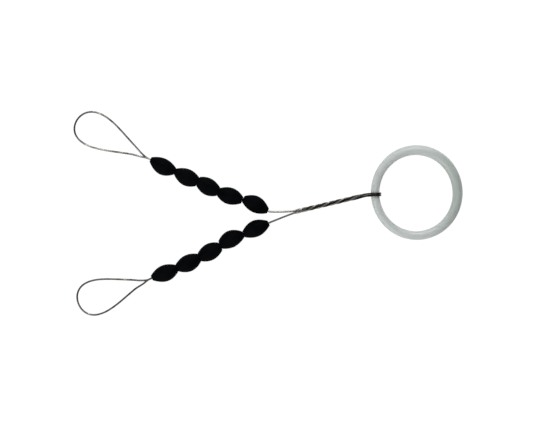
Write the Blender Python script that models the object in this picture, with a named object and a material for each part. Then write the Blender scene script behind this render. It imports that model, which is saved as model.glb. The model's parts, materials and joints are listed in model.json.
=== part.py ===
"""Float stop set: two rows of rubber stops on doubled steel wire, held by one plastic ring.

Each row of olive-shaped stops is threaded on a doubled wire that ends in an open loop. The fishing line goes
through the loop and the stops are pushed over it onto the line. Behind the rows the four wire ends are laid into
one rope, the stem, which goes round a moulded ring.

Metres, +Z up. The set lies flat on Z = 0 with the ring towards +X, and the origin is at the bottom centre.
"""

import math

import bmesh
import bpy
from mathutils import Matrix, Vector

MM = 0.001

# Wire
WIRE_DIAMETER = 0.3 * MM
STRAND_GAP = 0.04 * MM
WRAP_GAP = 0.06 * MM
SPLIT_GAP = 0.1 * MM
WIRE_SIDES_RESOLUTION = 1

# Ring, which is a little longer across the stem than along it, and thicker on the far side
RING_LENGTH_ALONG = 18.38 * MM
RING_LENGTH_ACROSS = 18.93 * MM
RING_SECTION = 1.83 * MM
RING_SWELL = 0.11
RING_SWELL_HEADING = math.radians(35)
RING_HEADING = math.radians(2.35)
RING_STEPS = 64
RING_SECTION_SIDES = 14

# Stops, olives that are thicker where their neighbours press them shorter
STOP_DIAMETER = 3.32 * MM
STOP_POINT = 3.5 * MM
STOP_FULLNESS = 1.1
STOP_BULGE = 0.12
BORE_CLEARANCE = 0.04 * MM
TIP_WALL = 0.07 * MM
STOP_FACE_GAP = 0.06 * MM
STOP_SIDES = 24
STOP_STATIONS = 10
SHARP_ANGLE = math.radians(40)

# Stem, the rope of four strands from the junction of the two rows to the eye round the ring
EYE_DISTANCE = 15.99 * MM
EYE_HEADING = math.radians(12.15)
STEM_HEADING = math.radians(13.3)
LAY_LENGTH = 5.2 * MM
START_LOOSENESS = 0.6
LOOSE_LENGTH = 2.6 * MM
RISE_LENGTH = 4.2 * MM
RISE_PULL = 3.6 * MM
TOUCH_ANGLE = math.radians(115)
LEAVE_ANGLE = math.radians(-105)
WRAP_DRIFT = 0.2 * MM
TAIL_LENGTH = 2.4 * MM
STEM_STEPS = 28
RISE_STEPS = 10
WRAP_STEPS = 20
TAIL_STEPS = 6

# Rows, placed from the junction. Each stop, from the loop inwards, has the place of its belly along the row, and how
# far its inner end, its belly and its outer end sit off the wire.
ROWS = {
    "upper": {
        "start": Vector((-5.58 * MM, -0.03 * MM)),
        "heading": math.radians(156.3),
        "stops": (
            (23.05 * MM, (0.33 * MM, 0.32 * MM, 0.0)),
            (17.75 * MM, (0.33 * MM, 0.37 * MM, 0.22 * MM)),
            (13.20 * MM, (0.60 * MM, 0.36 * MM, 0.17 * MM)),
            (8.45 * MM, (0.15 * MM, 0.31 * MM, 0.58 * MM)),
            (3.10 * MM, (0.0, -0.23 * MM, -0.22 * MM)),
        ),
        "loop_length": 16.56 * MM,
        "loop_width": 6.76 * MM,
        "loop_lean": -0.073,
        "loop_skew": 0.12,
        "side": 1,
    },
    "lower": {
        "start": Vector((-5.38 * MM, -2.21 * MM)),
        "heading": math.radians(-154.8),
        "stops": (
            (23.30 * MM, (0.36 * MM, 0.25 * MM, 0.0)),
            (18.20 * MM, (0.33 * MM, 0.42 * MM, 0.50 * MM)),
            (13.40 * MM, (0.14 * MM, 0.21 * MM, 0.31 * MM)),
            (8.55 * MM, (-0.17 * MM, -0.35 * MM, -0.18 * MM)),
            (3.15 * MM, (0.0, -0.13 * MM, -0.08 * MM)),
        ),
        "loop_length": 15.36 * MM,
        "loop_width": 6.82 * MM,
        "loop_lean": -0.109,
        "loop_skew": 0.088,
        "side": -1,
    },
}
LOOP_FULLNESS = 2.28
LOOP_POINTS = 44
LOOP_SPLIT_DEPTH = 2.5 * MM
LEAD_POINTS = 8
LEAD_START_PULL = 0.9 * MM
LEAD_END_PULL = 2.4 * MM

# Sizes worked out from those above
LANE = (WIRE_DIAMETER + STRAND_GAP) / 2
STOP_BORE = 2 * WIRE_DIAMETER + STRAND_GAP + 2 * BORE_CLEARANCE
STOP_TIP_DIAMETER = STOP_BORE + 2 * TIP_WALL
STOP_FREE_HALF = STOP_POINT * math.sqrt(1 - (STOP_TIP_DIAMETER / STOP_DIAMETER) ** (1 / STOP_FULLNESS))
ROPE_RADIUS = LANE * math.sqrt(2) + WIRE_DIAMETER / 2
RING_NEAR_RADIUS = RING_SECTION / 2 * (1 - RING_SWELL * math.cos(RING_SWELL_HEADING))
RING_FAR_RADIUS = RING_SECTION / 2 * (1 + RING_SWELL * math.cos(RING_SWELL_HEADING))
WRAP_RADIUS = RING_NEAR_RADIUS + WRAP_GAP + ROPE_RADIUS
EYE_HEIGHT = WRAP_RADIUS + ROPE_RADIUS
RING_REACH = RING_LENGTH_ALONG - RING_SECTION
RING_TILT = math.asin((EYE_HEIGHT - RING_FAR_RADIUS) / RING_REACH)

# Materials: colour, roughness and metallic value
RUBBER = ((0.006, 0.007, 0.010, 1.0), 0.65, 0.0)
PLASTIC = ((0.42, 0.47, 0.45, 1.0), 0.35, 0.0)
STEEL = ((0.16, 0.15, 0.13, 1.0), 0.35, 1.0)


def clear_scene():
    for old in list(bpy.data.objects):
        bpy.data.objects.remove(old, do_unlink=True)


def make_material(name, colour, roughness, metallic):
    material = bpy.data.materials.new(name)
    material.use_nodes = True
    shader = material.node_tree.nodes["Principled BSDF"]
    shader.inputs["Base Color"].default_value = colour
    shader.inputs["Roughness"].default_value = roughness
    shader.inputs["Metallic"].default_value = metallic
    return material


def add_object(name, data, material, parent):
    made = bpy.data.objects.new(name, data)
    if material is not None:
        data.materials.append(material)
    made.parent = parent
    bpy.context.collection.objects.link(made)
    return made


def smoothstep(share):
    return share * share * (3.0 - 2.0 * share)


def flat_direction(heading):
    return Vector((math.cos(heading), math.sin(heading), 0.0))


def left_of(direction):
    return Vector((-direction.y, direction.x, 0.0))


def hermite(start, start_pull, end, end_pull, count):
    """Points of a smooth curve between two points that leaves and arrives along the given pulls."""
    points = []
    for index in range(count + 1):
        t = index / count
        points.append(
            start * (1 - 3 * t**2 + 2 * t**3)
            + start_pull * (t - 2 * t**2 + t**3)
            + end * (3 * t**2 - 2 * t**3)
            + end_pull * (t**3 - t**2)
        )
    return points


# Stops

def stop_spans(row):
    """Each stop's ends, as distances from its belly: a free tip, or half way to the neighbour that presses on it."""
    places = [place for place, _ in row["stops"]]
    presses = [(outer - inner - STOP_FACE_GAP) / 2 for outer, inner in zip(places, places[1:])]
    lows = [-press for press in presses] + [-STOP_FREE_HALF]
    highs = [STOP_FREE_HALF] + presses
    return list(zip(lows, highs))


def stop_diameter(low, high):
    return STOP_DIAMETER + STOP_BULGE * (2 * STOP_FREE_HALF - (high - low))


def axis_height():
    """Height of the wire in the bores when the thickest stop lies on the floor."""
    return max(stop_diameter(*span) for row in ROWS.values() for span in stop_spans(row)) / 2


def stop_radius(distance, diameter):
    """Radius of a stop at a distance from its belly, on an olive that would taper to a point."""
    return diameter / 2 * (1 - (distance / STOP_POINT) ** 2) ** STOP_FULLNESS


def held_sway(sway, end_radius):
    """A sway that still leaves a wall round the bore at an end of this radius."""
    room = max(0.0, end_radius - STOP_TIP_DIAMETER / 2)
    return max(-room, min(room, sway))


def sway_at(x, low, high, sways):
    """Sideways shift of the body at x, on the curve through its shifts at low, at the belly and at high."""
    low_sway, belly_sway, high_sway = sways
    return (
        low_sway * x * (x - high) / (low * (low - high))
        + belly_sway * (x - low) * (x - high) / (low * high)
        + high_sway * x * (x - low) / (high * (high - low))
    )


def stop_mesh(name, low, high, sways):
    """A stop turned about X from low to high, with a straight bore and its body swayed off that bore."""
    model = bmesh.new()
    bore = STOP_BORE / 2
    diameter = stop_diameter(low, high)
    outline = []
    for index in range(STOP_STATIONS + 1):
        x = low + (high - low) * (0.5 - 0.5 * math.cos(math.pi * index / STOP_STATIONS))
        outline.append((x, stop_radius(x, diameter)))
    held = (held_sway(sways[0], outline[0][1]), sways[1], held_sway(sways[2], outline[-1][1]))
    outline += [(high, bore), (low, bore)]
    verts = [model.verts.new((x, 0.0, -r)) for x, r in outline]
    edges = [model.edges.new((a, b)) for a, b in zip(verts, verts[1:] + verts[:1])]
    bmesh.ops.spin(
        model, geom=verts + edges, cent=(0, 0, 0), axis=(1, 0, 0), angle=2 * math.pi,
        steps=STOP_SIDES, use_merge=True,
    )
    for vert in model.verts:
        if math.hypot(vert.co.y, vert.co.z) > (bore + STOP_TIP_DIAMETER / 2) / 2:
            vert.co.y += sway_at(vert.co.x, low, high, held)
    bmesh.ops.recalc_face_normals(model, faces=model.faces)
    mesh = bpy.data.meshes.new(name)
    model.to_mesh(mesh)
    model.free()
    mesh.shade_smooth()
    mesh.set_sharp_from_angle(angle=SHARP_ANGLE)
    return mesh


def make_stops(row_name, row, frame, rubber):
    """The stops of one row; number 1 is next to the loop."""
    for number, ((place, sways), (low, high)) in enumerate(zip(row["stops"], stop_spans(row)), start=1):
        name = f"{row_name}_stop_{number}"
        stop = add_object(name, stop_mesh(name, low, high, sways), rubber, frame)
        stop.location = (place, 0.0, axis_height())


def row_end(row):
    """Where the outer tip of a row's first stop ends along the row."""
    return row["stops"][0][0] + STOP_FREE_HALF


# Ring

def make_ring(plastic, parent):
    """The moulded ring, with its origin in the wire's eye, which is the axis that it swings on."""
    model = bmesh.new()
    along = RING_REACH / 2
    across = (RING_LENGTH_ACROSS - RING_SECTION) / 2
    rings = []
    for step in range(RING_STEPS):
        turn = 2 * math.pi * step / RING_STEPS
        centre = Vector((along + along * math.cos(turn), across * math.sin(turn), 0.0))
        outward = Vector((across * math.cos(turn), along * math.sin(turn), 0.0)).normalized()
        radius = RING_SECTION / 2 * (1 + RING_SWELL * math.cos(turn - RING_SWELL_HEADING))
        section = []
        for side in range(RING_SECTION_SIDES):
            angle = 2 * math.pi * (side + 0.5) / RING_SECTION_SIDES - math.pi / 2
            lift = Vector((0.0, 0.0, math.sin(angle)))
            section.append(model.verts.new(centre + radius * (outward * math.cos(angle) + lift)))
        rings.append(section)
    for here, after in zip(rings, rings[1:] + rings[:1]):
        for side in range(RING_SECTION_SIDES):
            beside = (side + 1) % RING_SECTION_SIDES
            model.faces.new((here[side], after[side], after[beside], here[beside]))
    bmesh.ops.recalc_face_normals(model, faces=model.faces)
    mesh = bpy.data.meshes.new("ring")
    model.to_mesh(mesh)
    model.free()
    mesh.shade_smooth()
    ring = add_object("ring", mesh, plastic, parent)
    ring.rotation_euler = (0.0, RING_TILT, RING_HEADING)
    ring.location = eye_centre()
    return ring


# Wire

def wire_object(name, points, steel, parent):
    """One round wire with cut ends, along the points."""
    curve = bpy.data.curves.new(name, "CURVE")
    curve.dimensions = "3D"
    curve.bevel_depth = WIRE_DIAMETER / 2
    curve.bevel_resolution = WIRE_SIDES_RESOLUTION
    curve.use_fill_caps = True
    spline = curve.splines.new("POLY")
    spline.points.add(len(points) - 1)
    for place, point in zip(spline.points, points):
        place.co = (*point, 1.0)
    return add_object(name, curve, steel, parent)


def eye_centre():
    """Middle of the ring's section where the rope goes round it, seen from the junction."""
    return flat_direction(EYE_HEADING) * EYE_DISTANCE + Vector((0.0, 0.0, EYE_HEIGHT))


def loop_points(row):
    """One row's loop in its row's frame: out of the bore, round a leaning teardrop and back in below."""
    peak_share = (1 + LOOP_FULLNESS) / (2 + LOOP_FULLNESS)
    peak = 2 * math.sqrt(peak_share * (1 - peak_share)) * peak_share ** (LOOP_FULLNESS / 2)
    inside = row_end(row) - LOOP_SPLIT_DEPTH + SPLIT_GAP / 2
    points = [Vector((inside, 0.0, axis_height() + LANE))]
    for index in range(LOOP_POINTS + 1):
        turn = 2 * math.pi * index / LOOP_POINTS
        out = row["loop_length"] * (1 - math.cos(turn)) / 2
        side = row["loop_width"] / (2 * peak) * math.sin(turn) * math.sin(turn / 2) ** LOOP_FULLNESS
        points.append(Vector((
            row_end(row) + out + row["loop_skew"] * side,
            side + row["loop_lean"] * out,
            axis_height() + LANE * math.cos(turn / 2),
        )))
    points.append(Vector((inside, 0.0, axis_height() - LANE)))
    return points


def lead_points(row, row_matrix, level):
    """One strand from the cut inside the outer stop, through the bores, to the stem's start."""
    middle = Vector((0.0, 0.0, axis_height()))
    lane = Vector((0.0, 0.0, level * LANE))
    outward = flat_direction(row["heading"])
    stem = flat_direction(STEM_HEADING)
    loose = 1 + START_LOOSENESS
    cut = row_matrix @ Vector((row_end(row) - LOOP_SPLIT_DEPTH - SPLIT_GAP / 2, 0.0, 0.0)) + middle + lane
    bend = row_matrix.translation + middle + lane
    end = middle + lane * loose + left_of(stem) * (LANE * loose * row["side"])
    lead = hermite(bend, -outward * LEAD_START_PULL, end, stem * LEAD_END_PULL, LEAD_POINTS)
    return [cut] + lead[:-1]


def rope_axis():
    """Middle line of the rope, with its side at each point: along the stem, over and round the ring, and back below."""
    start = Vector((0.0, 0.0, axis_height()))
    eye = eye_centre()
    stem = flat_direction(STEM_HEADING)
    inward = flat_direction(RING_HEADING)
    beside = left_of(inward)
    upward = Vector((0.0, 0.0, 1.0))
    foot = start + stem * (EYE_DISTANCE - RISE_LENGTH)
    touch = eye + (inward * math.cos(TOUCH_ANGLE) + upward * math.sin(TOUCH_ANGLE)) * WRAP_RADIUS
    climb = inward * math.sin(TOUCH_ANGLE) - upward * math.cos(TOUCH_ANGLE)
    line = [(start.lerp(foot, step / STEM_STEPS), left_of(stem)) for step in range(STEM_STEPS)]
    rise = hermite(foot, stem * RISE_PULL, touch, climb * RISE_PULL, RISE_STEPS)
    for step, point in enumerate(rise[:-1]):
        line.append((point, left_of(stem).lerp(beside, step / RISE_STEPS)))
    for step in range(WRAP_STEPS + 1):
        share = step / WRAP_STEPS
        angle = TOUCH_ANGLE + (LEAVE_ANGLE - TOUCH_ANGLE) * share
        around = inward * math.cos(angle) + upward * math.sin(angle)
        line.append((eye + around * WRAP_RADIUS + beside * (WRAP_DRIFT * smoothstep(share)), beside))
    last = line[-1][0]
    back = inward * math.sin(LEAVE_ANGLE) - upward * math.cos(LEAVE_ANGLE)
    for step in range(1, TAIL_STEPS + 1):
        line.append((last + back * (TAIL_LENGTH * step / TAIL_STEPS), beside))
    return line


def rope_points(start_angle):
    """One strand of the rope, turning round its middle line, loosely at the junction and then tight."""
    line = rope_axis()
    points = []
    run = 0.0
    for index, (middle, side) in enumerate(line):
        before = line[max(index - 1, 0)][0]
        after = line[min(index + 1, len(line) - 1)][0]
        forward = (after - before).normalized()
        sideways = (side - forward * side.dot(forward)).normalized()
        upward = forward.cross(sideways)
        run += (middle - before).length
        angle = start_angle - 2 * math.pi * run / LAY_LENGTH
        loose = 1 + START_LOOSENESS * (1 - smoothstep(min(1.0, run / LOOSE_LENGTH)))
        offset = sideways * math.cos(angle) + upward * math.sin(angle)
        points.append(middle + offset * (LANE * math.sqrt(2) * loose))
    return points


def make_strand(name, row, row_matrix, level, steel, parent):
    """One of a row's two wires, unbroken from the outer stop's bore to its cut end at the ring."""
    points = lead_points(row, row_matrix, level) + rope_points(math.atan2(level, row["side"]))
    wire_object(name, points, steel, parent)
    return points


def least_gap(strands):
    """Least clear distance between the wires of different strands, measured on points along them."""
    least = math.inf
    fine = []
    for points in strands:
        dense = []
        for here, after in zip(points, points[1:]):
            count = max(1, math.ceil((after - here).length / (WIRE_DIAMETER / 2)))
            dense += [here.lerp(after, step / count) for step in range(count)]
        fine.append(dense)
    for index, one in enumerate(fine):
        for other in fine[index + 1:]:
            least = min(least, min((a - b).length for a in one for b in other))
    return least - WIRE_DIAMETER


def centre_on_origin(root):
    """Moves the whole set so that its bottom centre is at the origin."""
    bpy.context.view_layer.update()
    graph = bpy.context.evaluated_depsgraph_get()
    corners = []
    for made in bpy.data.objects:
        if made.type != "EMPTY":
            shown = made.evaluated_get(graph)
            mesh = shown.to_mesh()
            corners += [shown.matrix_world @ vert.co for vert in mesh.vertices]
            shown.to_mesh_clear()
    low = Vector(min(c[axis] for c in corners) for axis in range(3))
    high = Vector(max(c[axis] for c in corners) for axis in range(3))
    root.location -= Vector(((low.x + high.x) / 2, (low.y + high.y) / 2, low.z))


def main():
    clear_scene()
    rubber = make_material("black_rubber", *RUBBER)
    plastic = make_material("milky_plastic", *PLASTIC)
    steel = make_material("drawn_steel", *STEEL)
    root = add_object("set", None, None, None)
    make_ring(plastic, root)
    strands = []
    for row_name, row in ROWS.items():
        frame = add_object(f"{row_name}_row", None, None, root)
        frame.location = row["start"].to_3d()
        frame.rotation_euler = (0.0, 0.0, row["heading"])
        row_matrix = Matrix.Translation(frame.location) @ Matrix.Rotation(row["heading"], 4, "Z")
        make_stops(row_name, row, frame, rubber)
        wire_object(f"{row_name}_loop", loop_points(row), steel, frame)
        for letter, level in (("a", 1), ("b", -1)):
            name = f"{row_name}_strand_{letter}"
            strands.append(make_strand(name, row, row_matrix, level, steel, root))
    centre_on_origin(root)
    print(f"least gap between wires: {least_gap(strands) / MM:.3f} mm")


main()
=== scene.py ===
"""Float stop set: rubber stops, looped wire and a plastic ring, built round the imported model.

Every stop, wire and the ring is made here with the shape and surface of the real thing, and rides on
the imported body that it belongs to. Metres, +Z up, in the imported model's frame.
"""

import json
import math
import random

import bmesh
import bpy
from mathutils import Matrix, Vector


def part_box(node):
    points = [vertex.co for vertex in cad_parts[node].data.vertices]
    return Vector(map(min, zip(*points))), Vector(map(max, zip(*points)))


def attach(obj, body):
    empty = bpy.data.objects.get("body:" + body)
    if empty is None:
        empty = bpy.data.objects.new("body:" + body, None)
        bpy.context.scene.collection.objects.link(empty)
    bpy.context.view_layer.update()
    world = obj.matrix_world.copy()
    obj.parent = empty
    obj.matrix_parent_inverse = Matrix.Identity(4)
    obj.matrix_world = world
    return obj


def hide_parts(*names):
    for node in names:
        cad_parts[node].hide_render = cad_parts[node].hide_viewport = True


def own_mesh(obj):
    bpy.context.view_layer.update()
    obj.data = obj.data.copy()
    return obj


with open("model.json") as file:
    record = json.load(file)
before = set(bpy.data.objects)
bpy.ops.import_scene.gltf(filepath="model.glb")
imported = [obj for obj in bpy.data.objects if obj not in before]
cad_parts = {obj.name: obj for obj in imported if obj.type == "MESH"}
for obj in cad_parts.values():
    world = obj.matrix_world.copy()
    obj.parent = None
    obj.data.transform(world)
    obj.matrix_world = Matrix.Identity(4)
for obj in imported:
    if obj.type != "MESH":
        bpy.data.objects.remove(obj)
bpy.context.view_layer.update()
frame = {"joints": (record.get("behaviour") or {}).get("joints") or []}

bl_info = {
    "name": "Float stop set",
    "version": (1, 0, 0),
    "blender": (4, 5, 0),
    "location": "View3D > Sidebar > Float stops",
    "description": "Builds rubber float stops on looped wire, with the ring that holds them",
    "category": "Add Mesh",
}

MM = 0.001
PHOTO_WIDTH_PX = 536
ROW_NAMES = ("upper", "lower")
JOINTS = {joint["name"]: joint for joint in frame["joints"]}
EYE = Vector(JOINTS["ring_swing"]["pos_m"])
UPWARD = Vector((0.0, 0.0, 1.0))
LOOP_LOW, LOOP_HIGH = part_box("upper_loop")
AXIS_HEIGHT = (LOOP_LOW[2] + LOOP_HIGH[2]) / 2
SEAM_SPREAD = math.radians(60)
GATE_SPREAD = 0.6 * MM
SHARP_ANGLE = math.radians(50)
LOOP_STEPS = 160
LEAD_STEPS = 24
ROPE_STEPS = 168
EYE_STEPS = 24
WRAP_STEPS = 60
RIM_STEPS = 4
RIM_SHARE = 0.45
LEAD_IN_SHARE = 0.5
SEAM_CLEARANCE = 0.4
SEAM_PROFILE = ((-1.0, 0.0), (-0.45, 0.55), (0.0, 1.0), (0.45, 0.55), (1.0, 0.0))
WHITE = (1.0, 1.0, 1.0, 1.0)
NOISE_RANGE = (0.35, 0.65)
RUBBER_FILM_SCALE = 420.0
RUBBER_FILM_RANGE = (0.42, 0.72)
RUBBER_ROUGHNESS_SPREAD = (-0.07, 0.10)
RUBBER_GRAIN_SCALE = 6500.0
RUBBER_GRAIN_DEPTH = 0.012 * MM
RUBBER_GRAIN_STRENGTH = 0.5
PLASTIC_CLOUD_SCALE = 150.0
PLASTIC_CLOUD_MOST = 0.3
PLASTIC_FAR_SPREAD = (-0.15, 0.85)
PLASTIC_SKIN_SCALE = 2600.0
PLASTIC_SKIN_DEPTH = 0.01 * MM
PLASTIC_SKIN_STRENGTH = 0.35
PLASTIC_ROUGHNESS_SPREAD = (-0.06, 0.06)
STEEL_FILM_SCALE = 900.0
STEEL_FILM_RANGE = (0.38, 0.66)
STEEL_FILM_MOST = 0.8
STEEL_ROUGHNESS_SPREAD = (-0.06, 0.14)
STEEL_SCRATCH_SCALE = 9000.0
STEEL_SCRATCH_DEPTH = 0.004 * MM
STEEL_SCRATCH_STRENGTH = 0.4


def length(label, note, default):
    return bpy.props.FloatProperty(
        name=label, description=note, default=default, precision=5, unit="LENGTH"
    )


def share(label, note, default):
    return bpy.props.FloatProperty(name=label, description=note, default=default, precision=3)


def angle(label, note, default):
    return bpy.props.FloatProperty(
        name=label, description=note, default=math.radians(default), subtype="ANGLE"
    )


def power(label, note, default):
    return bpy.props.FloatProperty(name=label, description=note, default=default, unit="POWER")


def optic(label, note, default):
    return bpy.props.FloatProperty(name=label, description=note, default=default)


def count(label, note, default):
    return bpy.props.IntProperty(name=label, description=note, default=default, min=1)


def colour(label, note, default):
    return bpy.props.FloatVectorProperty(
        name=label, description=note, default=(*default, 1.0), size=4, min=0.0, max=1.0, subtype="COLOR"
    )


def place(label, note, default):
    return bpy.props.FloatVectorProperty(
        name=label, description=note, default=default, size=3, precision=5,
        subtype="TRANSLATION", unit="LENGTH",
    )


def each_stop(label, note, default):
    return bpy.props.FloatVectorProperty(
        name=label, description=note, default=[value * MM for value in default], size=5, unit="LENGTH"
    )


class WireSettings(bpy.types.PropertyGroup):
    diameter: length("Diameter", "Thickness of the drawn wire", 0.38 * MM)
    strand_gap: length("Strand gap", "Clear distance between wires laid side by side", 0.01 * MM)
    wrap_gap: length("Wrap gap", "Clear distance between the strands and the ring", 0.04 * MM)
    split_gap: length("Split gap", "Clear distance between loop and strand inside the bore", 0.1 * MM)
    split_depth: length("Split depth", "How deep in the outer stop loop and strand meet", 2.5 * MM)
    sides: count("Sides", "Flats round the wire's section", 16)
    eye_distance: length("Eye distance", "From where the rows meet to the ring's eye", 16.49 * MM)
    eye_heading: angle("Eye heading", "Direction of the eye from where the rows meet", 12.19)
    stem_heading: angle("Stem heading", "Direction in which the stem leaves the rows", 13.3)
    twist_turns: share("Twist turns", "Turns of the rope, in quarters", 2.25)
    twist_ease: share("Twist ease", "How late the strands straighten before the ring", 8.0)
    looseness: share("Looseness", "How much the rope opens just past where the rows meet", 0.1)
    loose_length: length("Loose length", "Where the rope has drawn tight", 2.6 * MM)
    eye_length: length("Eye length", "From the rope's end to the middle of the ring's section", 2.2 * MM)
    eye_pull: length("Eye pull", "How far the strands keep the rope's direction", 1.6 * MM)
    touch_angle: angle("Touch angle", "Where the strands come onto the ring", 125.0)
    lead_start_pull: length("Lead start pull", "How far a lead keeps its row's direction", 0.9 * MM)
    lead_end_pull: length("Lead end pull", "How far a lead keeps the stem's direction", 2.0 * MM)
    loop_fullness: share("Loop fullness", "How far out the loop is widest", 2.28)
    neck_length: length("Neck length", "How far a loop's legs lie together past the outer stop", 0.2 * MM)
    neck_opening: length("Neck opening", "Over which length the legs then part", 1.8 * MM)
    lean_start: length("Lean start", "Where a loop starts to lean", 1.0 * MM)
    lean_opening: length("Lean opening", "Over which length it then takes its full lean", 3.0 * MM)
    loop_keep: share("Loop keep", "Part of a loop's width that is left once stops are pushed over it", 0.03)
    # Bright is the clean steel and tarnish its brown film. The tarnish colour is also painted shade along
    # the stem and at the ring's eye, and the bright steel left on the leads is a painted highlight.
    bright: colour("Bright", "Drawn steel where it is clean", (0.24, 0.23, 0.215))
    tarnish_and_shade: colour("Tarnish", "Brown film on the steel", (0.024, 0.022, 0.018))
    # Stem film and shade darkens the twisted stem: partly brown film, partly painted shade inside and
    # between the strands.
    stem_film_and_shade: share("Stem film", "How much more film there is on the stem's darker strands", 1.0)
    # The other stem strands get less of it, so neighbouring strands alternate as painted lit and painted
    # shaded copies of the same steel.
    lit_strand_film_and_shade: share("Stem clean", "How much more film there is on the stem's other strands", 0.25)
    # Eye film and shade darkens the strands where they wrap the ring: brown film together with painted
    # shade on the wire turning down over the ring.
    eye_film_and_shade: share("Eye film", "How much more film there is where the strands hold the ring", 0.7)
    # From the leads to the ring only a small share of the patchy film is kept, so the leads render lighter:
    # a painted highlight for the glint on the nearly level leads.
    lead_highlight_length: length("Lead length", "How far the leads' cleaner steel reaches", 5.5 * MM)
    lead_highlight_film_share: share("Lead film", "Part of the film that is left from the leads to the ring", 0.1)
    roughness: share("Roughness", "Mean roughness of the steel", 0.22)


class StopSettings(bpy.types.PropertyGroup):
    diameter: length("Diameter", "Across the belly of a free stop", 3.32 * MM)
    point: length("Point", "From the belly to where the olive would taper to a point", 3.5 * MM)
    fullness: share("Fullness", "How blunt the olive is", 1.1)
    bulge: share("Bulge", "How much a pressed stop thickens for each length that it is shortened", 0.12)
    face_gap: length("Face gap", "Between the pressed ends of neighbours", 0.012 * MM)
    bore_clearance: length("Bore clearance", "Round the two wires in the bore", 0.015 * MM)
    tip_wall: length("Tip wall", "Rubber round the bore at a free tip", 0.02 * MM)
    mouth_flare: length("Mouth flare", "How much wider the bore is at a free tip", 0.08 * MM)
    mouth_depth: length("Mouth depth", "How far the bore narrows behind a tip", 1.2 * MM)
    edge_round: length("Edge round", "Radius at the rim of each end", 0.07 * MM)
    seam_height: length("Seam height", "How far the mould's parting line stands out", 0.022 * MM)
    seam_width: length("Seam width", "Half the width of the parting line", 0.06 * MM)
    gate_height: length("Gate height", "How far the moulding's gate mark stands out", 0.05 * MM)
    gate_width: length("Gate width", "Spread of the gate mark", 0.22 * MM)
    sides: count("Sides", "Flats round a stop", 64)
    stations: count("Stations", "Rings of faces along a stop", 44)
    black: colour("Black", "Rubber", (0.0006, 0.001, 0.0016))
    bloom: colour("Bloom", "Dull film on the rubber", (0.002, 0.0026, 0.0034))
    roughness: share("Roughness", "Mean roughness of the rubber", 0.62)
    shine: share("Shine", "Specular level of the rubber", 0.02)


class RingSettings(bpy.types.PropertyGroup):
    along: length("Length along", "Outside, in the stem's direction", 18.38 * MM)
    across: length("Length across", "Outside, across the stem", 18.93 * MM)
    section: length("Section", "Mean thickness of the ring", 1.83 * MM)
    swell: share("Swell", "How much thicker the ring is on its far side", 0.11)
    swell_heading: angle("Swell heading", "Where the ring is thickest", 35.0)
    heading: angle("Heading", "Turn of the ring from +X", 2.35)
    seam_height: length("Seam height", "How far the mould's parting line stands out", 0.02 * MM)
    seam_width: length("Seam width", "Half the width of the parting line", 0.09 * MM)
    steps: count("Steps", "Sections round the ring", 288)
    sides: count("Sides", "Flats round its section", 44)
    milky: colour("Milky", "Plastic", (0.51, 0.54, 0.525))
    # Colour mixed in towards the far half of the ring, along +X: the ring is drawn darker and greener
    # there.
    green: colour("Green", "Deeper tone in the plastic, towards the far side", (0.36, 0.405, 0.38))
    roughness: share("Roughness", "Mean roughness of the plastic", 0.36)
    glow: share("Glow", "How much light spreads inside the plastic", 1.0)
    glow_depth: length("Glow depth", "How far light spreads inside the plastic", 1.0 * MM)


class UpperRowSettings(bpy.types.PropertyGroup):
    start: place("Start", "Bend of the row's wire, from the junction", (-5.093 * MM, 0.085 * MM, 0.0))
    heading: angle("Heading", "Direction of the row from +X", 156.3)
    places: each_stop(
        "Places", "Belly of each stop along the row, from the loop inwards",
        (23.05, 17.75, 13.2, 8.45, 3.1),
    )
    inner_sways: each_stop(
        "Inner sways", "How far each inner end sits off the wire",
        (0.33, 0.33, 0.60, 0.15, 0.0),
    )
    belly_sways: each_stop(
        "Belly sways", "How far each belly sits off the wire",
        (0.32, 0.37, 0.36, 0.31, -0.23),
    )
    outer_sways: each_stop(
        "Outer sways", "How far each outer end sits off the wire",
        (0.0, 0.22, 0.17, 0.58, -0.22),
    )
    loop_length: length("Loop length", "From the outer tip to the loop's end", 16.64 * MM)
    loop_width: length("Loop width", "Across the loop", 6.76 * MM)
    loop_lean: share("Loop lean", "Sideways drift of the loop along its length", -0.073)
    loop_skew: share("Loop skew", "How far one side of the loop is pushed ahead", 0.12)
    side: share("Side", "Side of the stem that the row's wires start on", 1.0)


class LowerRowSettings(bpy.types.PropertyGroup):
    start: place("Start", "Bend of the row's wire, from the junction", (-4.893 * MM, -2.095 * MM, 0.0))
    heading: angle("Heading", "Direction of the row from +X", -154.8)
    places: each_stop(
        "Places", "Belly of each stop along the row, from the loop inwards",
        (23.3, 18.2, 13.4, 8.55, 3.15),
    )
    inner_sways: each_stop(
        "Inner sways", "How far each inner end sits off the wire",
        (0.36, 0.33, 0.14, -0.17, 0.0),
    )
    belly_sways: each_stop(
        "Belly sways", "How far each belly sits off the wire",
        (0.25, 0.42, 0.21, -0.35, -0.13),
    )
    outer_sways: each_stop(
        "Outer sways", "How far each outer end sits off the wire",
        (0.0, 0.50, 0.31, -0.18, -0.08),
    )
    loop_length: length("Loop length", "From the outer tip to the loop's end", 15.44 * MM)
    loop_width: length("Loop width", "Across the loop", 6.82 * MM)
    loop_lean: share("Loop lean", "Sideways drift of the loop along its length", -0.109)
    loop_skew: share("Loop skew", "How far one side of the loop is pushed ahead", 0.088)
    side: share("Side", "Side of the stem that the row's wires start on", -1.0)


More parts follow.
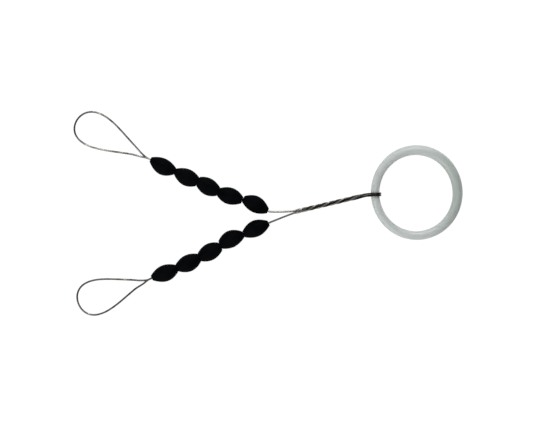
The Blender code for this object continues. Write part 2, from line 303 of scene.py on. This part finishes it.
class StageSettings(bpy.types.PropertyGroup):
    floor_size: length("Floor size", "Side of the square floor", 1.6)
    floor_white: colour("Floor white", "Colour of the floor", (0.8, 0.8, 0.8))
    floor_seen: colour("Floor seen", "Colour of the floor where it is looked at", (0.1, 0.1, 0.1))
    floor_lift: share("Floor lift", "Light added to the floor where it is looked at", 0.96)
    world_low: share("World low", "Light of the world above and at both ends", 0.15)
    world_high: share("World high", "Light of the world at the near and far sides", 1.2)
    key_place: place("Key place", "Large soft lamp at the left", (-0.26, -0.24, 0.30))
    key_power: power("Key power", "Large soft lamp", 1.15)
    key_size: length("Key size", "Side of the large soft lamp", 0.35)
    fill_place: place("Fill place", "Small lamp at the far side", (0.05, 0.33, 0.30))
    fill_power: power("Fill power", "Small lamp", 0.9)
    fill_size: length("Fill size", "Side of the small lamp", 0.16)
    lens: optic("Lens", "Focal length in millimetres", 200.0)
    sensor: optic("Sensor", "Sensor width in millimetres", 36.0)
    pixel: length("Pixel", "Size that one pixel of the photo covers", 0.2 * MM)
    aim: place("Aim", "Point in the middle of the picture", (-0.040 * MM, 0.381 * MM, 1.65 * MM))


class FloatStopSettings(bpy.types.PropertyGroup):
    wire: bpy.props.PointerProperty(type=WireSettings)
    stop: bpy.props.PointerProperty(type=StopSettings)
    ring: bpy.props.PointerProperty(type=RingSettings)
    upper: bpy.props.PointerProperty(type=UpperRowSettings)
    lower: bpy.props.PointerProperty(type=LowerRowSettings)
    stage: bpy.props.PointerProperty(type=StageSettings)


# Sizes that follow from the settings

def lane(wire):
    """Half the distance between the middles of two wires laid side by side."""
    return (wire.diameter + wire.strand_gap) / 2


def bore_radius(kit):
    return kit.wire.diameter + kit.wire.strand_gap / 2 + kit.stop.bore_clearance


def tip_radius(kit):
    return bore_radius(kit) + kit.stop.mouth_flare + kit.stop.tip_wall


def free_half(kit):
    """From the belly of a free stop to its tip."""
    stop = kit.stop
    return stop.point * math.sqrt(1 - (2 * tip_radius(kit) / stop.diameter) ** (1 / stop.fullness))


def row_end(kit, row):
    """Where the outer tip of a row's first stop ends along the row."""
    return row.places[0] + free_half(kit)


def ring_radius(ring, turn):
    """Half the ring's thickness at an angle round it; the eye is at half a turn."""
    return ring.section / 2 * (1 + ring.swell * math.cos(turn - ring.swell_heading))


def wrap_radius(kit):
    return ring_radius(kit.ring, math.pi) + kit.wire.wrap_gap + kit.wire.diameter / 2


def flat_direction(heading):
    return Vector((math.cos(heading), math.sin(heading), 0.0))


def left_of(direction):
    return Vector((-direction.y, direction.x, 0.0))


def junction(kit):
    """Where the wires of both rows meet, on the floor."""
    flat = EYE - flat_direction(kit.wire.eye_heading) * kit.wire.eye_distance
    return Vector((flat.x, flat.y, 0.0))


def row_matrix(kit, row):
    """From a row's own frame, with +X outwards along its wire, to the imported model's frame."""
    return Matrix.Translation(junction(kit) + Vector(row.start)) @ Matrix.Rotation(row.heading, 4, "Z")


def smoothstep(value):
    value = min(1.0, max(0.0, value))
    return value * value * (3.0 - 2.0 * value)


def hermite(start, start_pull, end, end_pull, steps):
    """Points of a smooth curve between two points that leaves and arrives along the given pulls."""
    points = []
    for index in range(steps + 1):
        t = index / steps
        points.append(
            start * (1 - 3 * t**2 + 2 * t**3)
            + start_pull * (t - 2 * t**2 + t**3)
            + end * (3 * t**2 - 2 * t**3)
            + end_pull * (t**3 - t**2)
        )
    return points


# Materials

def new_material(name):
    material = bpy.data.materials.new(name)
    material.use_nodes = True
    tree = material.node_tree
    return material, tree, tree.nodes["Principled BSDF"]


def noise_node(tree, scale, detail, roughness=0.5):
    where = tree.nodes.new("ShaderNodeTexCoord")
    noise = tree.nodes.new("ShaderNodeTexNoise")
    noise.inputs["Scale"].default_value = scale
    noise.inputs["Detail"].default_value = detail
    noise.inputs["Roughness"].default_value = roughness
    tree.links.new(where.outputs["Object"], noise.inputs["Vector"])
    return noise


def spread(tree, source, low, high, source_range=NOISE_RANGE):
    """A value stretched from its own range over another."""
    stretch = tree.nodes.new("ShaderNodeMapRange")
    stretch.inputs["From Min"].default_value = source_range[0]
    stretch.inputs["From Max"].default_value = source_range[1]
    stretch.inputs["To Min"].default_value = low
    stretch.inputs["To Max"].default_value = high
    tree.links.new(source, stretch.inputs["Value"])
    return stretch.outputs["Result"]


def combined(tree, operation, one, other, clamp=False):
    """Two values added or multiplied."""
    both = tree.nodes.new("ShaderNodeMath")
    both.operation = operation
    both.use_clamp = clamp
    tree.links.new(one, both.inputs[0])
    tree.links.new(other, both.inputs[1])
    return both.outputs[0]


def place_along_x(tree):
    where = tree.nodes.new("ShaderNodeTexCoord")
    parts = tree.nodes.new("ShaderNodeSeparateXYZ")
    tree.links.new(where.outputs["Object"], parts.inputs["Vector"])
    return parts.outputs["X"]


def roughened(tree, shader, noise, mean, around):
    """Roughness that follows a noise, around its mean."""
    rough = spread(tree, noise, mean + around[0], mean + around[1])
    tree.links.new(rough, shader.inputs["Roughness"])


def mixed_colour(tree, amount, one, other):
    mix = tree.nodes.new("ShaderNodeMix")
    mix.data_type = "RGBA"
    mix.inputs["A"].default_value = one
    mix.inputs["B"].default_value = other
    tree.links.new(amount, mix.inputs["Factor"])
    return mix.outputs["Result"]


def bumped(tree, shader, height, depth, strength):
    bump = tree.nodes.new("ShaderNodeBump")
    bump.inputs["Strength"].default_value = strength
    bump.inputs["Distance"].default_value = depth
    tree.links.new(height, bump.inputs["Height"])
    tree.links.new(bump.outputs["Normal"], shader.inputs["Normal"])


def rubber_material(stop):
    material, tree, shader = new_material("black_moulded_rubber")
    film = noise_node(tree, RUBBER_FILM_SCALE, 5.0).outputs["Fac"]
    grain = noise_node(tree, RUBBER_GRAIN_SCALE, 3.0, 0.6).outputs["Fac"]
    amount = spread(tree, film, 0.0, 1.0, RUBBER_FILM_RANGE)
    tree.links.new(mixed_colour(tree, amount, stop.black, stop.bloom), shader.inputs["Base Color"])
    roughened(tree, shader, film, stop.roughness, RUBBER_ROUGHNESS_SPREAD)
    shader.inputs["Specular IOR Level"].default_value = stop.shine
    bumped(tree, shader, grain, RUBBER_GRAIN_DEPTH, RUBBER_GRAIN_STRENGTH)
    return material


def plastic_material(ring):
    """Milky plastic, cloudy and greener towards the ring's far side."""
    material, tree, shader = new_material("milky_moulded_plastic")
    cloud = noise_node(tree, PLASTIC_CLOUD_SCALE, 4.0).outputs["Fac"]
    skin = noise_node(tree, PLASTIC_SKIN_SCALE, 3.0).outputs["Fac"]
    far_half = (EYE.x + ring.along * 0.5, EYE.x + ring.along)
    far = spread(tree, place_along_x(tree), *PLASTIC_FAR_SPREAD, far_half)
    cloudy = spread(tree, cloud, 0.0, PLASTIC_CLOUD_MOST)
    amount = combined(tree, "ADD", cloudy, far, clamp=True)
    tree.links.new(mixed_colour(tree, amount, ring.milky, ring.green), shader.inputs["Base Color"])
    roughened(tree, shader, skin, ring.roughness, PLASTIC_ROUGHNESS_SPREAD)
    shader.inputs["Subsurface Weight"].default_value = ring.glow
    shader.inputs["Subsurface Radius"].default_value = (1.0, 1.0, 1.0)
    shader.inputs["Subsurface Scale"].default_value = ring.glow_depth
    bumped(tree, shader, skin, PLASTIC_SKIN_DEPTH, PLASTIC_SKIN_STRENGTH)
    return material


def steel_material(kit, name, stem_film_and_shade):
    """Drawn wire with a patchy brown film. From the leads to the ring the film is cut back, a painted
    highlight; the stem and the ring's eye are darkened by film and painted shade, most at the ring.
    """
    wire = kit.wire
    material, tree, shader = new_material(name)
    film = noise_node(tree, STEEL_FILM_SCALE, 4.0).outputs["Fac"]
    scratch = noise_node(tree, STEEL_SCRATCH_SCALE, 2.0).outputs["Fac"]
    along = place_along_x(tree)
    # Stem: darker by film and painted shade.
    stem_start = junction(kit).x + wire.loose_length / 2
    stem = spread(tree, along, 0.0, stem_film_and_shade, (stem_start, stem_start + wire.loose_length / 2))
    # Eye: darker where the strands wrap the ring, by film and painted shade.
    eye_start = EYE.x - wire.eye_length * 2
    eye = spread(tree, along, 0.0, wire.eye_film_and_shade, (eye_start, eye_start + wire.eye_length))
    # Leads onwards: patchy film cut back, a painted highlight.
    lead_start = junction(kit).x - wire.lead_highlight_length
    left = spread(tree, along, 1.0, wire.lead_highlight_film_share, (lead_start, lead_start + wire.diameter))
    patchy = spread(tree, film, 0.0, STEEL_FILM_MOST, STEEL_FILM_RANGE)
    thin = combined(tree, "MULTIPLY", patchy, left)
    # Film and painted shade of the stem and the eye together.
    stem_and_eye_film_shade = combined(tree, "ADD", stem, eye)
    amount = combined(tree, "ADD", thin, stem_and_eye_film_shade, clamp=True)
    tree.links.new(mixed_colour(tree, amount, wire.bright, wire.tarnish_and_shade), shader.inputs["Base Color"])
    roughened(tree, shader, film, wire.roughness, STEEL_ROUGHNESS_SPREAD)
    shader.inputs["Metallic"].default_value = 1.0
    bumped(tree, shader, scratch, STEEL_SCRATCH_DEPTH, STEEL_SCRATCH_STRENGTH)
    return material


# Making objects

def add_mesh(name, model):
    bmesh.ops.recalc_face_normals(model, faces=model.faces)
    mesh = bpy.data.meshes.new(name)
    model.to_mesh(mesh)
    model.free()
    mesh.shade_smooth()
    made = bpy.data.objects.new(name, mesh)
    bpy.context.collection.objects.link(made)
    return made


def skin_rings(model, rings):
    """Faces between rows of vertices; the last row meets the first."""
    for here, after in zip(rings, rings[1:] + rings[:1]):
        for index in range(len(here)):
            beside = (index + 1) % len(here)
            model.faces.new((here[index], after[index], after[beside], here[beside]))


def seamed_angles(sides, seams, half_width):
    """Angles round a section, close together at each seam, with the seam's height there."""
    apart = 2 * math.pi / sides
    found = []
    for index in range(sides):
        turn = index * apart
        gap = min(abs(math.remainder(turn - seam, 2 * math.pi)) for seam in seams)
        if gap > half_width + apart * SEAM_CLEARANCE:
            found.append((turn, 0.0))
    for seam in seams:
        for step, height in SEAM_PROFILE:
            found.append(((seam + step * half_width) % (2 * math.pi), height))
    return sorted(found)


# Stops

def stop_spans(kit, row):
    """Each stop's ends from its belly: a free tip, or half way to the neighbour that presses on it."""
    pairs = zip(row.places, row.places[1:])
    presses = [(outer - inner - kit.stop.face_gap) / 2 for outer, inner in pairs]
    free = free_half(kit)
    return list(zip([-press for press in presses] + [-free], [free] + presses))


def stop_radius(stop, distance, diameter):
    """Radius of a stop at a distance from its belly, on an olive that would taper to a point."""
    return diameter / 2 * (1 - (distance / stop.point) ** 2) ** stop.fullness


def held_sway(sway, room):
    """A sway that still leaves a wall round the bore."""
    return max(-room, min(room, sway))


def sway_at(x, low, high, shifts):
    """Sideways shift of the body at x, on the curve through its shifts at low, at the belly and at high."""
    low_shift, belly_shift, high_shift = shifts
    return (
        low_shift * x * (x - high) / (low * (low - high))
        + belly_shift * (x - low) * (x - high) / (low * high)
        + high_shift * x * (x - low) / (high * (high - low))
    )


def rim(kit, end, inwards, outside, flare):
    """Outline of one end from the body to the bore: a rounded rim, the flat face and the bore's mouth."""
    bore = bore_radius(kit)
    mouth = bore + flare
    curve = min(kit.stop.edge_round, RIM_SHARE * (outside - mouth))
    lead_in = curve * LEAD_IN_SHARE
    points = []
    for step in range(RIM_STEPS + 1):
        turn = math.pi / 2 * step / RIM_STEPS
        along = end + inwards * curve * (1 - math.sin(turn))
        points.append((along, outside - curve * (1 - math.cos(turn))))
    points.append((end, (outside - curve + mouth + lead_in) / 2))
    points.append((end, mouth + lead_in))
    points.append((end + inwards * lead_in, mouth))
    points.append((end + inwards * kit.stop.mouth_depth, bore))
    return points


def stop_outline(kit, low, high, diameter, flares):
    """The turned outline (place along the wire, radius), from the low rim over the body to the bore."""
    low_rim = rim(kit, low, 1.0, stop_radius(kit.stop, low, diameter), flares[0])
    high_rim = rim(kit, high, -1.0, stop_radius(kit.stop, high, diameter), flares[1])
    start, end = low_rim[0][0], high_rim[0][0]
    body = []
    for index in range(1, kit.stop.stations):
        x = start + (end - start) * (0.5 - 0.5 * math.cos(math.pi * index / kit.stop.stations))
        body.append((x, stop_radius(kit.stop, x, diameter)))
    return low_rim[::-1] + body + high_rim


def stop_shifts(kit, row, index, low, high, diameter):
    """How far the stop's inner end, belly and outer end sit off the wire."""
    walled = bore_radius(kit) + kit.stop.tip_wall
    low_room = max(0.0, stop_radius(kit.stop, low, diameter) - walled)
    high_room = max(0.0, stop_radius(kit.stop, high, diameter) - walled)
    return (
        held_sway(row.inner_sways[index], low_room),
        row.belly_sways[index],
        held_sway(row.outer_sways[index], high_room),
    )


def make_stop(kit, row_name, number, rubber):
    stop = kit.stop
    row = getattr(kit, row_name)
    low, high = stop_spans(kit, row)[number - 1]
    diameter = stop.diameter + stop.bulge * (2 * free_half(kit) - (high - low))
    shifts = stop_shifts(kit, row, number - 1, low, high, diameter)
    bore = bore_radius(kit)
    flares = (stop.mouth_flare * (number == len(row.places)), stop.mouth_flare * (number == 1))
    chance = random.Random(f"{row_name} stop {number}")
    seam = chance.uniform(-SEAM_SPREAD, SEAM_SPREAD)
    gate = chance.uniform(-GATE_SPREAD, GATE_SPREAD)
    around = seamed_angles(stop.sides, (seam, seam + math.pi), stop.seam_width / (diameter / 2))
    model = bmesh.new()
    rings = []
    for x, radius in stop_outline(kit, low, high, diameter, flares):
        outside = stop_radius(stop, x, diameter)
        body_share = smoothstep((radius - bore) / (outside - bore))
        shift = sway_at(x, low, high, shifts) * body_share
        ring = []
        for turn, height in around:
            away = math.hypot(x - gate, math.remainder(turn - seam, 2 * math.pi) * radius)
            mark = stop.gate_height * math.exp(-((away / stop.gate_width) ** 2))
            full = radius + (stop.seam_height * height + mark) * body_share
            ring.append(model.verts.new((x, shift + full * math.cos(turn), full * math.sin(turn))))
        rings.append(ring)
    skin_rings(model, rings)
    model.transform(row_matrix(kit, row) @ Matrix.Translation((row.places[number - 1], 0.0, AXIS_HEIGHT)))
    node = f"{row_name}_stop_{number}"
    piece = add_mesh(f"{node}_moulded", model)
    piece.data.materials.append(rubber)
    piece.data.set_sharp_from_angle(angle=SHARP_ANGLE)
    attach(piece, node)
    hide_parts(node)


# Ring

def make_ring(kit, plastic):
    ring = kit.ring
    reach = ring.along - ring.section
    along = reach / 2
    across = (ring.across - ring.section) / 2
    around = seamed_angles(ring.sides, (0.0, math.pi), ring.seam_width / (ring.section / 2))
    model = bmesh.new()
    rings = []
    for step in range(ring.steps):
        turn = 2 * math.pi * step / ring.steps
        middle = Vector((along + along * math.cos(turn), across * math.sin(turn), 0.0))
        outward = Vector((across * math.cos(turn), along * math.sin(turn), 0.0)).normalized()
        radius = ring_radius(ring, turn)
        section = []
        for side, height in around:
            full = radius + ring.seam_height * height
            offset = outward * math.cos(side) + UPWARD * math.sin(side)
            section.append(model.verts.new(middle + full * offset))
        rings.append(section)
    skin_rings(model, rings)
    tilt = math.asin((EYE.z - ring_radius(ring, 0.0)) / reach)
    turned = Matrix.Rotation(ring.heading, 4, "Z") @ Matrix.Rotation(tilt, 4, "Y")
    model.transform(Matrix.Translation(EYE) @ turned)
    piece = add_mesh("ring_moulded", model)
    piece.data.materials.append(plastic)
    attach(piece, "ring")
    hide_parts("ring")


# Wire

def loop_points(kit, row):
    """One row's loop in its row's frame: out of the bore, round a leaning teardrop and back in below."""
    full = kit.wire.loop_fullness
    width = lane(kit.wire)
    peak_share = (1 + full) / (2 + full)
    peak = 2 * math.sqrt(peak_share * (1 - peak_share)) * peak_share ** (full / 2)
    outside = row_end(kit, row)
    inside = outside - kit.wire.split_depth + kit.wire.split_gap / 2
    points = [Vector((inside, 0.0, AXIS_HEIGHT + width))]
    for index in range(LOOP_STEPS + 1):
        turn = 2 * math.pi * index / LOOP_STEPS
        out = row.loop_length * (1 - math.cos(turn)) / 2
        parted = smoothstep((out - kit.wire.neck_length) / kit.wire.neck_opening)
        leant = smoothstep((out - kit.wire.lean_start) / kit.wire.lean_opening)
        side = row.loop_width / (2 * peak) * math.sin(turn) * abs(math.sin(turn / 2)) ** full * parted
        points.append(Vector((
            outside + out + row.loop_skew * side,
            side + row.loop_lean * out * leant,
            AXIS_HEIGHT + width * math.cos(turn / 2),
        )))
    points.append(Vector((inside, 0.0, AXIS_HEIGHT - width)))
    return points


def wire_tube(wire, steel):
    """Geometry nodes that turn a line of edges into round wire, so that a bent line keeps its thickness."""
    tree = bpy.data.node_groups.new("round_wire", "GeometryNodeTree")
    tree.interface.new_socket("Geometry", in_out="INPUT", socket_type="NodeSocketGeometry")
    tree.interface.new_socket("Geometry", in_out="OUTPUT", socket_type="NodeSocketGeometry")
    line = tree.nodes.new("NodeGroupInput")
    curve = tree.nodes.new("GeometryNodeMeshToCurve")
    profile = tree.nodes.new("GeometryNodeCurvePrimitiveCircle")
    profile.inputs["Resolution"].default_value = wire.sides
    profile.inputs["Radius"].default_value = wire.diameter / 2
    tube = tree.nodes.new("GeometryNodeCurveToMesh")
    tube.inputs["Fill Caps"].default_value = True
    smooth = tree.nodes.new("GeometryNodeSetShadeSmooth")
    finish = tree.nodes.new("GeometryNodeSetMaterial")
    finish.inputs["Material"].default_value = steel
    made = tree.nodes.new("NodeGroupOutput")
    tree.links.new(line.outputs[0], curve.inputs["Mesh"])
    tree.links.new(curve.outputs["Curve"], tube.inputs["Curve"])
    tree.links.new(profile.outputs["Curve"], tube.inputs["Profile Curve"])
    tree.links.new(tube.outputs["Mesh"], smooth.inputs["Geometry"])
    tree.links.new(smooth.outputs["Geometry"], finish.inputs["Geometry"])
    tree.links.new(finish.outputs["Geometry"], made.inputs[0])
    return tree


def add_wire(node, points, tube, steel):
    """A wire along the points: a line of edges, with its roundness from the tube nodes."""
    mesh = bpy.data.meshes.new(f"{node}_wire")
    mesh.from_pydata([tuple(point) for point in points], [(i, i + 1) for i in range(len(points) - 1)], [])
    mesh.materials.append(steel)
    piece = bpy.data.objects.new(f"{node}_wire", mesh)
    bpy.context.collection.objects.link(piece)
    piece.modifiers.new("Round wire", "NODES").node_group = tube
    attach(piece, "wire")
    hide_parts(node)
    return piece


def make_loop(kit, row_name, tube, steel):
    row = getattr(kit, row_name)
    matrix = row_matrix(kit, row)
    piece = add_wire(f"{row_name}_loop", [matrix @ point for point in loop_points(kit, row)], tube, steel)
    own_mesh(piece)


def lead_points(kit, row, level):
    """One strand from the cut inside the outer stop, through the bores, to the stem's start."""
    wire = kit.wire
    matrix = row_matrix(kit, row)
    outward = flat_direction(row.heading)
    stem = flat_direction(wire.stem_heading)
    middle = UPWARD * AXIS_HEIGHT
    level_lane = UPWARD * (level * lane(wire))
    inside = row_end(kit, row) - wire.split_depth - wire.split_gap / 2
    cut = matrix @ Vector((inside, 0.0, 0.0)) + middle + level_lane
    bend = matrix.translation + middle + level_lane
    end = junction(kit) + middle + level_lane + left_of(stem) * (lane(wire) * row.side)
    start_pull = -outward * wire.lead_start_pull
    return [cut] + hermite(bend, start_pull, end, stem * wire.lead_end_pull, LEAD_STEPS)[:-1]


def rope_line(kit):
    """Both ends of the rope's straight middle line."""
    wire = kit.wire
    start = junction(kit)
    end = start + flat_direction(wire.stem_heading) * (wire.eye_distance - wire.eye_length)
    return start + UPWARD * AXIS_HEIGHT, end + UPWARD * EYE.z


def rope_points(kit, start_angle):
    """One strand of the rope round its middle line: loose past the junction, straight at the end."""
    wire = kit.wire
    start, end = rope_line(kit)
    sideways = left_of(flat_direction(wire.stem_heading))
    upright = (end - start).normalized().cross(sideways)
    ease = wire.twist_ease
    points = []
    for step in range(ROPE_STEPS + 1):
        done = step / ROPE_STEPS
        turned = (done - done**ease / ease) / (1 - 1 / ease)
        turn = start_angle - 2 * math.pi * wire.twist_turns * turned
        loose_done = min(1.0, done * (end - start).length / wire.loose_length)
        loose = 1 + wire.looseness * math.sin(math.pi * loose_done) ** 2
        offset = sideways * math.cos(turn) + upright * math.sin(turn)
        points.append(start.lerp(end, done) + offset * (lane(wire) * math.sqrt(2) * loose))
    return points


def eye_points(kit, start, side, level):
    """One strand from the rope's end round the ring, above it (level 1) or below it (level -1)."""
    wire = kit.wire
    inward = flat_direction(kit.ring.heading)
    outside = UPWARD * level
    middle = EYE + left_of(inward) * (lane(wire) * side)
    first, last = wire.touch_angle, -level * math.pi / 2
    around = []
    for step in range(WRAP_STEPS + 1):
        turn = first + (last - first) * step / WRAP_STEPS
        around.append(middle + (inward * math.cos(turn) + outside * math.sin(turn)) * wrap_radius(kit))
    rope_start, rope_end = rope_line(kit)
    leave = (rope_end - rope_start).normalized() * wire.eye_pull
    arrive = (inward * math.sin(first) - outside * math.cos(first)) * wire.eye_pull
    return hermite(start, leave, around[0], arrive, EYE_STEPS)[1:] + around[1:]


def make_strand(kit, row_name, letter, level, tube, steel):
    row = getattr(kit, row_name)
    start_angle = math.atan2(level, row.side)
    end_angle = start_angle - 2 * math.pi * kit.wire.twist_turns
    rope = rope_points(kit, start_angle)
    eye_side = math.copysign(1, math.cos(end_angle))
    eye_level = math.copysign(1, math.sin(end_angle))
    points = lead_points(kit, row, level) + rope + eye_points(kit, rope[-1], eye_side, eye_level)
    add_wire(f"{row_name}_strand_{letter}", points, tube, steel)


# Stage

def floor_material(stage):
    """A white floor that takes the set's shadow and is lifted to white where it is seen."""
    material, tree, shader = new_material("white_floor")
    shader.inputs["Roughness"].default_value = 1.0
    shader.inputs["Specular IOR Level"].default_value = 0.0
    shader.inputs["Emission Color"].default_value = WHITE
    path = tree.nodes.new("ShaderNodeLightPath")
    lift = tree.nodes.new("ShaderNodeMath")
    lift.operation = "MULTIPLY"
    lift.inputs[1].default_value = stage.floor_lift
    seen = mixed_colour(tree, path.outputs["Is Camera Ray"], stage.floor_white, stage.floor_seen)
    tree.links.new(seen, shader.inputs["Base Color"])
    tree.links.new(path.outputs["Is Camera Ray"], lift.inputs[0])
    tree.links.new(lift.outputs[0], shader.inputs["Emission Strength"])
    return material


def add_floor(stage):
    model = bmesh.new()
    bmesh.ops.create_grid(model, x_segments=1, y_segments=1, size=stage.floor_size / 2)
    floor = add_mesh("floor", model)
    floor.data.materials.append(floor_material(stage))


def add_lamp(name, where, power, size):
    lamp = bpy.data.lights.new(name, "AREA")
    lamp.energy = power
    lamp.size = size
    made = bpy.data.objects.new(name, lamp)
    made.location = where
    made.rotation_mode = "QUATERNION"
    made.rotation_quaternion = (-Vector(where)).to_track_quat("-Z", "Y")
    bpy.context.collection.objects.link(made)


def light_world(stage):
    """Light from the near and far sides, and plain white where the world is seen."""
    world = bpy.data.worlds.new("studio")
    world.use_nodes = True
    bpy.context.scene.world = world
    tree = world.node_tree
    where = tree.nodes.new("ShaderNodeTexCoord")
    parts = tree.nodes.new("ShaderNodeSeparateXYZ")
    square = tree.nodes.new("ShaderNodeMath")
    square.operation = "MULTIPLY"
    sides = tree.nodes.new("ShaderNodeMapRange")
    sides.inputs["To Min"].default_value = stage.world_low
    sides.inputs["To Max"].default_value = stage.world_high
    path = tree.nodes.new("ShaderNodeLightPath")
    level = tree.nodes.new("ShaderNodeMapRange")
    level.inputs["To Max"].default_value = 1.0
    back = tree.nodes["Background"]
    back.inputs["Color"].default_value = WHITE
    tree.links.new(where.outputs["Generated"], parts.inputs["Vector"])
    tree.links.new(parts.outputs["Y"], square.inputs[0])
    tree.links.new(parts.outputs["Y"], square.inputs[1])
    tree.links.new(square.outputs[0], sides.inputs["Value"])
    tree.links.new(sides.outputs["Result"], level.inputs["To Min"])
    tree.links.new(path.outputs["Is Camera Ray"], level.inputs["Value"])
    tree.links.new(level.outputs["Result"], back.inputs["Strength"])


def add_camera(stage):
    """A long lens straight above the set, with the photo's frame."""
    data = bpy.data.cameras.new("camera")
    data.lens = stage.lens
    data.sensor_width = stage.sensor
    camera = bpy.data.objects.new("camera", data)
    distance = PHOTO_WIDTH_PX * stage.pixel * stage.lens / stage.sensor
    camera.location = Vector(stage.aim) + Vector((0.0, 0.0, distance))
    bpy.context.collection.objects.link(camera)
    bpy.context.scene.camera = camera


# Operators

class FLOATSTOPS_OT_stage(bpy.types.Operator):
    """Adds the floor, the lamps, the world and the camera"""

    bl_idname = "float_stops.stage"
    bl_label = "Stage"

    def execute(self, context):
        stage = context.scene.float_stops.stage
        context.scene.view_settings.view_transform = "Standard"
        add_floor(stage)
        add_lamp("key", stage.key_place, stage.key_power, stage.key_size)
        add_lamp("fill", stage.fill_place, stage.fill_power, stage.fill_size)
        light_world(stage)
        add_camera(stage)
        return {"FINISHED"}


class FLOATSTOPS_OT_wires(bpy.types.Operator):
    """Adds the loops and strands of both rows"""

    bl_idname = "float_stops.wires"
    bl_label = "Wires"

    def execute(self, context):
        kit = context.scene.float_stops
        # Two copies of the same steel: on the stem, alternate strands are painted lit and painted shaded to
        # stand for the glints and shade of the twist. The loops use the lit copy.
        clean = steel_material(kit, "drawn_steel_wire", kit.wire.lit_strand_film_and_shade)
        dark = steel_material(kit, "tarnished_and_shaded_steel_wire", kit.wire.stem_film_and_shade)
        clean_tube = wire_tube(kit.wire, clean)
        dark_tube = wire_tube(kit.wire, dark)
        for row_name in ROW_NAMES:
            make_loop(kit, row_name, clean_tube, clean)
        make_strand(kit, "upper", "a", 1, dark_tube, dark)
        make_strand(kit, "upper", "b", -1, clean_tube, clean)
        make_strand(kit, "lower", "a", 1, clean_tube, clean)
        make_strand(kit, "lower", "b", -1, dark_tube, dark)
        return {"FINISHED"}


class FLOATSTOPS_OT_stops(bpy.types.Operator):
    """Adds the rubber stops of both rows"""

    bl_idname = "float_stops.stops"
    bl_label = "Rubber stops"

    def execute(self, context):
        kit = context.scene.float_stops
        rubber = rubber_material(kit.stop)
        for row_name in ROW_NAMES:
            for number in range(1, len(getattr(kit, row_name).places) + 1):
                make_stop(kit, row_name, number, rubber)
        return {"FINISHED"}


class FLOATSTOPS_OT_ring(bpy.types.Operator):
    """Adds the plastic ring"""

    bl_idname = "float_stops.ring"
    bl_label = "Ring"

    def execute(self, context):
        kit = context.scene.float_stops
        make_ring(kit, plastic_material(kit.ring))
        return {"FINISHED"}


class FLOATSTOPS_PT_panel(bpy.types.Panel):
    """Lists the pieces of the set"""

    bl_label = "Float stops"
    bl_idname = "FLOATSTOPS_PT_panel"
    bl_space_type = "VIEW_3D"
    bl_region_type = "UI"
    bl_category = "Float stops"

    def draw(self, context):
        for operator in OPERATORS:
            self.layout.operator(operator.bl_idname)


SETTINGS = (
    WireSettings,
    StopSettings,
    RingSettings,
    UpperRowSettings,
    LowerRowSettings,
    StageSettings,
    FloatStopSettings,
)
OPERATORS = (FLOATSTOPS_OT_stage, FLOATSTOPS_OT_wires, FLOATSTOPS_OT_stops, FLOATSTOPS_OT_ring)
CLASSES = (*SETTINGS, *OPERATORS, FLOATSTOPS_PT_panel)


def register():
    for cls in CLASSES:
        bpy.utils.register_class(cls)
    bpy.types.Scene.float_stops = bpy.props.PointerProperty(type=FloatStopSettings)


def unregister():
    del bpy.types.Scene.float_stops
    for cls in reversed(CLASSES):
        bpy.utils.unregister_class(cls)


def main():
    register()
    bpy.ops.float_stops.stage()
    bpy.ops.float_stops.wires()
    bpy.ops.float_stops.stops()
    bpy.ops.float_stops.ring()


if __name__ == "__main__":
    main()
